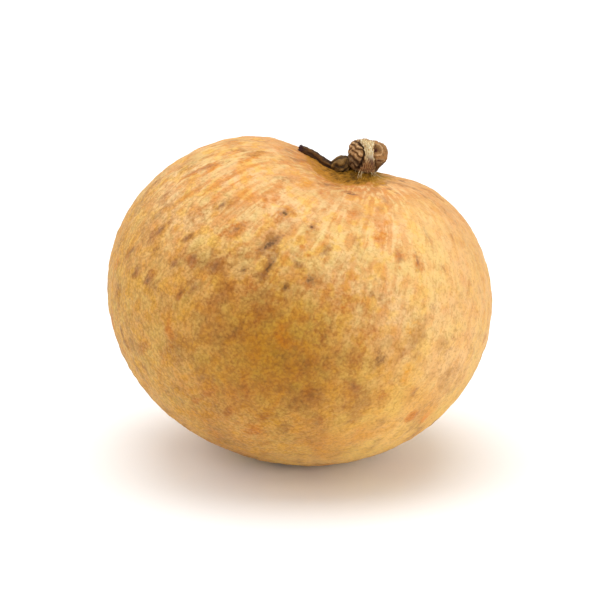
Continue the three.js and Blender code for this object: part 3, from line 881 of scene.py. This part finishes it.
def makeStalk():
    # A profile turned round the axis, then pushed along its normal by the bark's slanting ridges, the
    # broken hollows with their rims, the strip with its two tails and its fibres.
    form = stalkForm
    profile = throughPoints(form["outline"], form["rows"])
    profile[:, 0] = np.maximum(profile[:, 0], 0)
    slope = np.gradient(profile, axis=0)
    outward = unit(np.stack([slope[:, 1], -slope[:, 0]], 1))[1:-1]
    turn = onceRound(form["columns"])
    radius, z = profile[1:-1, :1], profile[1:-1, 1:] + 0 * turn
    onHead = smoothStep(*form["headRise"], z)
    swell = 1 + onHead * (form["lobes"][0] * np.sin(3 * turn + 0.8) + form["lobes"][1] * np.sin(5 * turn))
    neck = bell((z - form["neckHeight"]) / form["neckSpan"])
    swell = swell + form["neckSwell"] * neck * smoothStep(-0.1, 0.9, -np.cos(turn))
    x, y = radius * swell * np.cos(turn), radius * swell * np.sin(turn)
    places = np.stack([x, y, z], -1)
    rough, fineRough = (softNoise(places, size, 41 + k) for k, size in enumerate(form["roughSizes"]))

    # The strip runs over the top and down the front, ragged at its edges and forked at its foot.
    middle, half = stripAt(z)
    across = (x - middle) / half
    front = smoothStep(0.25, -0.15, y + 0.5 * smoothStep(2.0, 2.4, z))
    tail = 1 - smoothStep(0.1, form["forkTop"], z + 0.25 * abs(x))
    fork = tail * bell((x + 0.02) / form["forkHalf"])
    torn = abs(across) + 0.16 * rough + 0.12 * fineRough
    strip = front * (1 - smoothStep(*form["stripEdge"], torn)) * (1 - fork)
    bark = 1 - strip

    # Ridges, strongest on the left
    slant = z + form["ridgeRise"][0] * x * np.where(y > 0, -1, 1) + form["ridgeRise"][1] * y
    ridge = smoothStep(0.1, 0.8, 1 - 2 * abs((slant / form["ridgePitch"] + 0.22 * rough) % 1 - 0.5))
    leftward = 0.2 + 0.8 * smoothStep(0.4, -0.4, x)
    rise = form["ridgeHeight"] * (ridge - 0.7) * bark * leftward * onHead
    broken, rims = np.zeros_like(x), np.zeros_like(x)
    rimMiddle, rimWidth = form["rimPlace"]
    for hollowMiddle, radii, depth in form["hollows"]:
        inside = np.linalg.norm((places - hollowMiddle) / radii, axis=-1) + 0.14 * rough
        hollow = 1 - smoothStep(0.15, 1.0, inside)
        rim = bell((inside - rimMiddle) / rimWidth) * bark
        rise = rise - depth * hollow * bark + form["rimHeight"] * rim
        rims = np.maximum(rims, rim)
        broken = np.maximum(broken, hollow * bark)
    grooves = [strength * bell((across - place) / width) for place, width, strength in form["grooves"]]
    groove = np.maximum(*grooves) * front * bark * onHead
    fibre = 0.5 + 0.5 * np.sin(2 * math.pi * (x - 0.12 * z) / form["fibrePitch"] + 1.6 * rough)
    rise = rise + strip * (form["stripHeight"] + form["fibreHeight"] * fibre) - form["grooveDepth"] * groove
    rise = rise + form["roughHeights"][0] * rough + form["roughHeights"][1] * fineRough
    side, up = outward[:, :1], outward[:, 1:]
    body = places + rise[..., None] * np.stack([side * np.cos(turn), side * np.sin(turn), up + 0 * turn], -1)
    foot = np.array([[0, 0, form["outline"][0][1]]])
    top = np.array([[0, 0, body[-1, :, 2].mean()]])
    made = closedPiece("stalk_knob", *(fromStalk(points) for points in (body, foot, top)))
    fields = {
        "strip": strip,
        "fibres": fibre * strip,
        "ridges": 0.55 + (ridge * bark - 0.55) * leftward,
        "broken": broken,
        "rims": rims,
        "grooves": np.minimum(groove, 1),
        "low": 1 - smoothStep(0.75, 1.75, z),
        "foot": 1 - smoothStep(-0.1, 0.5, z + 0.12 * rough),
    }
    for name, values in fields.items():
        addField(made, name, values, 0, values[-1].mean())
    return made


def stalkMaterial():
    made, shading = newMaterial("Dry stalk", stalkForm["tints"])
    mix, laid, ramp, times = shading.mix, shading.laid, shading.ramp, shading.times
    place = shading.place()
    strip, fibres, ridges, broken = shading.values("strip", "fibres", "ridges", "broken")
    rims, grooves, low, foot = shading.values("rims", "grooves", "low", "foot")
    clouds = shading.noise(place, 0.55 * mm, 3.0, 0.6)
    fine = shading.noise(place, 0.16 * mm, 3.0, 0.65)
    stretched = shading.noise(shading.scaled(place, (1.0, 1.0, 0.16)), 0.09 * mm, 3.0, 0.6)
    grainMask, grainHeight = grain(shading, place, 0.2, 0.09)
    layers = [
        (ramp(ridges, 0.5, 0.05, 0, 0.7), "darkBark"),
        (times(ramp(ridges, 0.6, 1.0, 0, 0.9), ramp(fine, 0.35, 0.6, 0.3, 1.0)), "ridge"),
        (ramp(rims, 0.3, 0.9, 0, 0.5), "ridge"),
        # Painted shade: the bark darker low down
        (ramp(low, 0.1, 0.9, 0, 0.6), "darkBark"),
        (ramp(broken, 0.2, 0.9, 0, 0.9), "broken"),
        (ramp(grooves, 0.1, 0.7, 0, 0.9), "darkBark"),
    ]
    bark = laid(mix(ramp(clouds, 0.35, 0.65), "bark", "orange"), layers)
    lower = mix(ramp(stretched, 0.36, 0.64), "footPink", "fibreTan")
    lower = mix(ramp(fibres, 0.1, 0.5, 0.7, 0.0), lower, "footDark")
    layers = [(ramp(fibres, 0.1, 0.6, 0.45, 0.0), "footPink"), (ramp(low, 0.2, 0.8, 0, 0.95), lower)]
    pale = laid(mix(ramp(stretched, 0.36, 0.6), "fibreTan", "fibre"), layers)
    onStrip = ramp(shading.plus(strip, shading.wobble(fine, 0.25)), 0.3, 0.7)
    onFoot = times(foot, ramp(clouds, 0.35, 0.6, 0.3, 1.0))
    dry = laid(bark, [(onStrip, pale), (onFoot, "olive")])
    height = shading.plus(times(stretched, 0.8), grainHeight)
    inputs = {
        "Base Color": mix(1.0, dry, ramp(grainMask, 0, 1, 0.78, 1.2), "MULTIPLY"),
        "Roughness": ramp(grainMask, 0, 1, 0.6, 0.85),
        "Normal": shading.bump(height, 0.07 * mm, 0.9),
        "Specular IOR Level": 0.08,
    }
    shading.surface(inputs)
    return made


def strands(name, paths, radii, sides=6):
    # Thin tubes as one piece: each path's rings stand across its own direction, and close on a point at
    # both ends.
    points, faces, start = [], [], 0
    for path, radius in zip(paths, radii):
        thick = radius * mm
        way = unit(np.gradient(path, axis=0))
        helper = [0.3, 0.2, 1.0] if abs(way[0, 2]) < 0.8 else [1.0, 0.2, 0.1]
        side = unit(np.cross(way, helper))
        over = np.cross(side, way)
        angle = onceRound(sides)[..., None]
        ring = np.cos(angle) * side[:, None] + np.sin(angle) * over[:, None]
        body = path[:, None] + ring * thick[:, None, None]
        tube, tubeFaces = closedGrid(body, path[0] - way[0] * thick[0], path[-1] + way[-1] * thick[-1])
        points.append(tube)
        faces.append(np.where(tubeFaces >= 0, tubeFaces + start, -1))
        start += len(tube)
    return meshObject(name, np.vstack(points), np.vstack(faces))


# Loose strands on the strip, in the stalk's frame
fibreForm = {
    "count": 34,
    "steps": 16,
    "radius": (0.024, 0.05),
    "line": [  # y, z over the top and down the front
        (-0.35, 2.5), (-0.95, 2.42), (-1.32, 2.1), (-1.47, 1.6), (-1.36, 1.15), (-1.1, 0.75), (-0.86, 0.3),
    ],
    "starts": (0, 0.62),  # shares of the line
    "lengths": (0.3, 0.6),
    "spread": 0.9,  # of the strip's half-width
    "drift": 0.25,
    "lift": 0.16,
    "sunk": 0.03,
    "seed": 5,
    "fadeHeights": (22.9, 22.2),  # above the ground, where the strands turn darker
    "tints": {"tan": "d3c096", "pale": "f0e6c6", "low": "7f5b42", "grain": "7b5a3c"},
}


def makeFibres():
    # Strands that follow the strip from its top to its foot, each over a part of its length, spread
    # across its width and lifted a little where they have come loose.
    form = fibreForm
    draw = np.random.default_rng(form["seed"])
    line = throughPoints(form["line"], 80)
    share = np.linspace(0, 1, form["steps"])
    paths, radii = [], []
    for _ in range(form["count"]):
        start = draw.uniform(*form["starts"])
        end = min(1, start + draw.uniform(*form["lengths"]))
        index = np.linspace(start, end, form["steps"]) * (len(line) - 1)
        y, z = (np.interp(index, np.arange(len(line)), line[:, k]) for k in (0, 1))
        across = draw.uniform(-form["spread"], form["spread"])
        across = across + np.linspace(0, draw.uniform(-form["drift"], form["drift"]), form["steps"])
        middle, half = stripAt(z)
        x = middle + across * half
        lift = form["lift"] * draw.random() * (share**3 + 0.7 * (1 - share) ** 6)
        inward = smoothStep(1.0, 1.8, z) * 0.12 * (x / 0.5) ** 2
        paths.append(placed(fromStalk(np.stack([x, y - lift + inward - form["sunk"], z + 0.4 * lift], 1))))
        thinned = (1 - 0.75 * share**2) * (0.5 + 0.5 * np.minimum(1, 6 * share))
        radii.append(draw.uniform(*form["radius"]) * thinned)
    return strands("stalk_fibres", paths, radii)


def fibreMaterial():
    form = fibreForm
    made, shading = newMaterial("Torn fibre", form["tints"])
    place = shading.place()
    clouds = shading.noise(place, 0.5 * mm, 2.0)
    grainMask, grainHeight = grain(shading, place, 0.16, 0.07)
    fadeStart, fadeEnd = form["fadeHeights"]
    low = shading.ramp(shading.split(place)[2], fadeStart * mm, fadeEnd * mm)
    tint = shading.mix(low, shading.mix(shading.ramp(clouds, 0.35, 0.65), "tan", "pale"), "low")
    tint = shading.mix(shading.times(grainMask, 0.35), tint, "grain", "MULTIPLY")
    normal = shading.bump(grainHeight, 0.02 * mm, 0.6)
    shading.surface({"Base Color": tint, "Roughness": 0.8, "Normal": normal})
    return made


finishPiece(makeStalk(), "dry_stalk", stalkMaterial(), "stalk_end")
finishPiece(makeFibres(), "dry_stalk", fibreMaterial(), "stalk_end")
print("stalk made")

# The bud of the second carpel, in millimetres
budForm = {
    "middle": (1.34, -0.14, 9.84),
    "radii": (0.8, 0.68, 0.66),
    "lean": -38,  # degrees about Y
    "point": 0.12,  # how far its tip is drawn out, in shares of its radius
    "wrinkles": 8,
    "relief": (0.04, 0.03, 0.01),  # of wrinkles, dents and grains, in shares of the radius
    "rows": 90,
    "columns": 130,
    "clouds": (0.5, 0.36, 0.62),  # size, and from where to where they turn lighter
    "grainSizes": (0.22, 0.1),
    "grainShade": (0.75, 1.2),
    "roughness": (0.55, 0.75),
    "layers": [  # attribute, tint, then from, to, least and most
        ("wrinkles", "crest", 0.2, 1.0, 0, 0.6),
        ("wrinkles", "crease", -0.1, -0.9, 0, 0.7),
        ("tip", "tip", 0.3, 1.0, 0, 0.75),
    ],
    "tints": {"brown": "4a3216", "light": "705024", "crest": "8a6a3c", "crease": "2c1e13", "tip": "2a1a14"},
}

# Its dry style, in millimetres
styleForm = {
    "line": [  # x, y, height above the skin
        (1.2, -0.14, 0.16), (0.6, -0.1, 0.16), (0.05, -0.02, 0.18), (-0.55, 0.08, 0.18),
        (-1.1, 0.2, 0.14), (-1.6, 0.3, 0.1), (-1.86, 0.34, 0.07),
    ],
    "radius": [  # share of the length, radius
        (0, 0.36), (0.2, 0.34), (0.55, 0.32), (0.78, 0.33), (0.86, 0.37), (0.95, 0.38), (1, 0.32),
    ],
    "flatness": 0.9,
    "furrows": 5,
    "relief": (0.09, 0.07, 0.03),  # of furrows and two sizes of roughness, in shares of the radius
    "rows": 150,
    "columns": 64,
    "clouds": (0.4, 0.35, 0.65),  # size, and from where to where they turn lighter
    "grainSizes": (0.2, 0.09),
    "grainShade": (0.75, 1.25),
    "roughness": (0.6, 0.82),
    # Painted shade on the style's underside
    "paintedShadeUnderDarkness": 0.7,
    "layers": [  # attribute, tint, then from, to, least and most, or the attribute as it is
        ("furrows", "crest", 0.4, 1.2, 0, 0.6),
        ("furrows", "crease", 0.0, -0.9, 0, 0.75),
        ("paintedShadeUnder", "paintedShadeUnder"),
        ("end", "end", 0, 0.9, 0, 0.92),
    ],
    "tints": {
        "brown": "3c2612",
        "light": "58391a",
        "crest": "6a4822",
        "crease": "2d1c14",
        # Painted shade of the underside
        "paintedShadeUnder": "2a1a13",
        "end": "351d20",
    },
}


def aboveSkin(places):
    # Points at a height over the smooth skin: the height of the skin at x, y is found by turns.
    x, y, height = np.asarray(places, float).T
    z = np.full(len(x), fruitForm["height"] / 2)
    for _ in range(8):
        ways = unit(np.stack([x, y, z], 1))
        radius = smoothRadius(ways)
        radius = radius + skinForm["seatHeight"] * seatShare(ways * radius[:, None]) ** 2
        z = np.sqrt(radius**2 - x**2 - y**2)
    return np.stack([x, y, z + height], 1)


def makeBud():
    # An ellipsoid drawn out a little to a blunt point, with wrinkles that run to it and small dents.
    form = budForm
    rise = np.linspace(-math.pi / 2, math.pi / 2, form["rows"] + 2)[1:-1, None]
    turn = onceRound(form["columns"])
    along = np.sin(rise) * (1 + form["point"] * smoothStep(0.6, 1.4, rise)) + 0 * turn
    ball = np.stack([along, np.cos(rise) * np.cos(turn), np.cos(rise) * np.sin(turn)], -1)
    wrinkles = np.sin(form["wrinkles"] * turn + 1.6 * softNoise(ball, 1.1, 51)) * np.cos(rise)
    dents, grains = softNoise(ball, 0.6, 52), softNoise(ball, 0.22, 53)
    relief = sum(share * noise for share, noise in zip(form["relief"], (wrinkles, dents, grains)))
    ball = ball * (1 + relief)[..., None]
    low, high = np.array([[-1.0, 0, 0]]), np.array([[1 + form["point"], 0, 0]])
    lean = turning(form["lean"], "Y").T
    grid = ((points * form["radii"]) @ lean + form["middle"] for points in (ball, low, high))
    made = closedPiece("carpel_bud", *grid)
    addField(made, "tip", smoothStep(0.2, 1.3, rise + 0 * turn), 0, 1)
    addField(made, "wrinkles", wrinkles + 0.5 * dents, 0, 0)
    return made


def makeStyle():
    # A flattened section carried along the skin, drawn thin in its middle and swollen to a squared,
    # torn end, with furrows that wind along it.
    form = styleForm
    path = throughPoints(aboveSkin(form["line"]), form["rows"])
    share = np.linspace(0, 1, form["rows"])[:, None]
    radius = np.interp(share, *throughPoints(form["radius"], 200).T)
    way = unit(np.gradient(path, axis=0))
    side = unit(np.cross(way, [0, 0, 1.0]))
    over = np.cross(side, way)
    turn = onceRound(form["columns"])
    places = np.stack([np.cos(turn) + 0 * share, np.sin(turn) + 0 * share, 5 * share + 0 * turn], -1)
    furrow = np.sin(form["furrows"] * turn + 4 * share + 0.9 * softNoise(places, 1.5, 61))
    rough, fineRough = softNoise(places, 0.7, 62), softNoise(places, 0.3, 63)
    relief = sum(part * noise for part, noise in zip(form["relief"], (furrow, rough, fineRough)))
    thick = radius * (1 + relief)
    across, upward = np.cos(turn) * thick, np.sin(turn) * thick * form["flatness"]
    torn = smoothStep(0.92, 1, share) * (0.08 * rough + 0.05 * furrow)
    body = path[:, None] + across[..., None] * side[:, None] + upward[..., None] * over[:, None]
    body = body + torn[..., None] * way[:, None]
    made = closedPiece("dry_style", body, path[:1], path[-1:] - 0.04 * way[-1:])
    # Painted shade: darker on the underside
    paintedShadeUnder = form["paintedShadeUnderDarkness"] * smoothStep(0.2, -0.7, np.sin(turn) + 0 * share)
    addField(made, "furrows", furrow + 0.6 * rough, 0, 0)
    addField(made, "end", smoothStep(0.74, 0.9, share + 0.04 * rough), 0, 1)
    addField(made, "paintedShadeUnder", paintedShadeUnder, 0, 0)
    return made


def carpelMaterial(name, form):
    # Two browns in clouds, then a tint where each layer's attribute says. The powdery grain shades them,
    # varies the roughness and stands up a little.
    made, shading = newMaterial(name, form["tints"])
    mix, ramp, place = shading.mix, shading.ramp, shading.place()
    cloudSize, *cloudEdges = form["clouds"]
    grainMask, grainHeight = grain(shading, place, *form["grainSizes"])
    tint = mix(ramp(shading.noise(place, cloudSize * mm, 3.0, 0.6), *cloudEdges), "brown", "light")
    for attribute, layerTint, *limits in form["layers"]:
        (mask,) = shading.values(attribute)
        tint = mix(ramp(mask, *limits) if limits else mask, tint, layerTint)
    inputs = {
        "Base Color": mix(1.0, tint, ramp(grainMask, 0, 1, *form["grainShade"]), "MULTIPLY"),
        "Roughness": ramp(grainMask, 0, 1, *form["roughness"]),
        "Normal": shading.bump(grainHeight, 0.05 * mm, 0.8),
        "Specular IOR Level": 0.12,
    }
    shading.surface(inputs)
    return made


# Short pale hairs where the stalk's torn fibres meet the skin
hairForm = {
    "count": 10,
    "steps": 10,
    "radius": (0.016, 0.034),
    "start": 0.72,  # from the stalk's axis, millimetres
    "length": (0.3, 1.3),
    "angles": (-140, -35),  # degrees about the stalk, the front at -90
    "heights": (0.34, 0.02),  # above the skin, at the start and at the end
    "bend": 0.16,
    "seed": 9,
    "tints": {"tan": "b08f5e", "pale": "e6d3a4"},
}


def makeHairs():
    # Each hair starts on the stalk's foot and runs outwards and down to the skin, bent to one side.
    form = hairForm
    draw = np.random.default_rng(form["seed"])
    share = np.linspace(0, 1, form["steps"])
    paths, radii = [], []
    for _ in range(form["count"]):
        angle = math.radians(draw.uniform(*form["angles"]))
        distance = form["start"] + share * draw.uniform(*form["length"])
        angle = angle + draw.uniform(-1, 1) * form["bend"] * share**2
        height = form["heights"][0] * draw.uniform(0.5, 1.2) * (1 - share) ** 1.5 + form["heights"][1]
        x = stalkForm["foot"][0] + np.cos(angle) * distance
        y = stalkForm["foot"][1] + np.sin(angle) * distance
        paths.append(placed(aboveSkin(np.stack([x, y, height], 1))))
        radii.append(draw.uniform(*form["radius"]) * (1 - 0.8 * share))
    return strands("collar_hairs", paths, radii)


def hairMaterial():
    made, shading = newMaterial("Pale hair", hairForm["tints"])
    grainMask, grainHeight = grain(shading, shading.place(), 0.2, 0.08)
    tint = shading.mix(grainMask, "tan", "pale")
    normal = shading.bump(grainHeight, 0.02 * mm, 0.5)
    shading.surface({"Base Color": tint, "Roughness": 0.7, "Normal": normal})
    return made


finishPiece(makeBud(), "dry_carpel", carpelMaterial("Dry bud", budForm), "second_carpel")
finishPiece(makeStyle(), "dry_carpel", carpelMaterial("Dry style", styleForm), "second_carpel")
finishPiece(makeHairs(), "dry_stalk", hairMaterial(), "stalk_end")
print("carpel and hairs made")

# A plain pale floor, soft boxes of light and the camera
studio = {
    "floorSize": 6.0,
    "floor": "f8f8f7",
    "tentFront": 0.3,  # strength of the white tent on the camera's side, and behind the fruit
    "tentBehind": 0.78,
    "tentEdge": (-0.75, 0.35),  # from where to where it changes, along Y
    "boxes": [  # name, place, size, power in watts
        ("Top box", (0.0, 0.03, 0.34), 0.34, 0.9),
        ("Right box", (0.3, 0.02, 0.12), 0.22, 0.15),
        ("Left box", (-0.28, -0.03, 0.22), 0.26, 0.38),
        ("Low box", (0.12, -0.22, 0.07), 0.14, 0.3),
    ],
    "elevation": 18,
    "lens": 200,
    "seen": (0.01, 20),  # nearest and farthest, metres
    "distance": 0.242,
    "target": (0.0, 0.0, 0.0117),
}


def aimed(name, data, place, target):
    # A lamp or a camera that looks at the target.
    made = bpy.data.objects.new(name, data)
    made.location = place
    made.rotation_euler = (target - place).to_track_quat("-Z", "Y").to_euler()
    bpy.context.scene.collection.objects.link(made)
    return made


def makeFloor():
    half = studio["floorSize"] / 2
    corners = np.array([(-half, -half, 0), (half, -half, 0), (half, half, 0), (-half, half, 0)])
    floor = meshObject("floor", corners, np.array([[0, 1, 2, 3]]), smooth=False)
    made, shading = newMaterial("Pale floor", {"floor": studio["floor"]})
    shading.surface({"Base Color": "floor", "Roughness": 0.9, "Specular IOR Level": 0.1})
    floor.data.materials.append(made)


def makeTent():
    # White light from all round, weaker on the camera's side, and plain white where the camera sees it.
    world = bpy.data.worlds.new("White tent")
    world.use_nodes = True
    world.node_tree.nodes.clear()
    tent = Shading(world.node_tree, {"white": (1, 1, 1)})
    way = tent.split(tent.node("ShaderNodeTexCoord").outputs["Generated"])
    glow = tent.ramp(way["Y"], *studio["tentEdge"], studio["tentFront"], studio["tentBehind"])
    strength = tent.math("MAXIMUM", glow, tent.node("ShaderNodeLightPath").outputs["Is Camera Ray"])
    background = tent.node("ShaderNodeBackground", {"Color": "white", "Strength": strength})
    tent.node("ShaderNodeOutputWorld", {"Surface": background.outputs[0]})
    bpy.context.scene.world = world


def makeLightsAndCamera():
    target = Vector(studio["target"])
    for name, place, size, power in studio["boxes"]:
        light = bpy.data.lights.new(name, "AREA")
        light.shape, light.size, light.energy = "SQUARE", size, power
        aimed(name, light, Vector(place), target)
    lens = bpy.data.cameras.new("Camera")
    lens.lens = studio["lens"]
    lens.clip_start, lens.clip_end = studio["seen"]
    rise = math.radians(studio["elevation"])
    away = Vector((0, -math.cos(rise), math.sin(rise)))
    bpy.context.scene.camera = aimed("Camera", lens, target + away * studio["distance"], target)


makeFloor()
makeTent()
makeLightsAndCamera()
bpy.context.scene.view_settings.view_transform = "Standard"
print("studio made")
